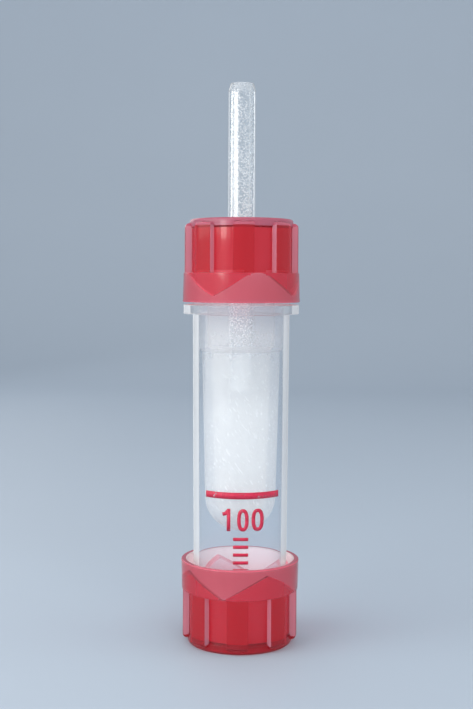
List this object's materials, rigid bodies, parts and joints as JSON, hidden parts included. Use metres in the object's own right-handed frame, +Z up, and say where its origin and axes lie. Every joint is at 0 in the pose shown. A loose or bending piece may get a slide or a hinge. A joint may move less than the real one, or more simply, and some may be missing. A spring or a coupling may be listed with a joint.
{
  "type": "capillary blood collection tube",
  "caption": "Blood collection tube: round-bottomed sample tube in a clear flanged carrier, with a capillary in its ribbed red cap and a spare closure cap as its foot.",
  "frame": {"origin": "middle of the closure cap's closed face, which the whole set stands on", "axes": "+Z up along the common axis, from the closure cap to the capillary's free end; -Y is the printed front"},
  "size_m": [0.0134, 0.0134, 0.0634],
  "materials": {
    "capillary_glass": "clear, dried additive in the bore",
    "cap_red": "translucent red, moulded gloss",
    "sample_plastic": "milky, satin",
    "carrier_plastic": "clear, polished, printed in red",
    "closure_red": "translucent red, moulded gloss"
  },
  "bodies": {
    "base_cap": {"closure_cap": "closure_red"},
    "tube": {"carrier_tube": "carrier_plastic", "sample_tube": "sample_plastic"},
    "capillary_unit": {"capillary_cap": "cap_red", "capillary": "capillary_glass"}
  },
  "joints": [
    {"name": "base_pull", "type": "slide", "parent": "base_cap", "child": "tube", "axis": [0, 0, 1], "range_m": [0, 0.01]},
    {"name": "capillary_pull", "type": "slide", "parent": "tube", "child": "capillary_unit", "axis": [0, 0, 1], "range_m": [0, 0.02]}
  ]
}
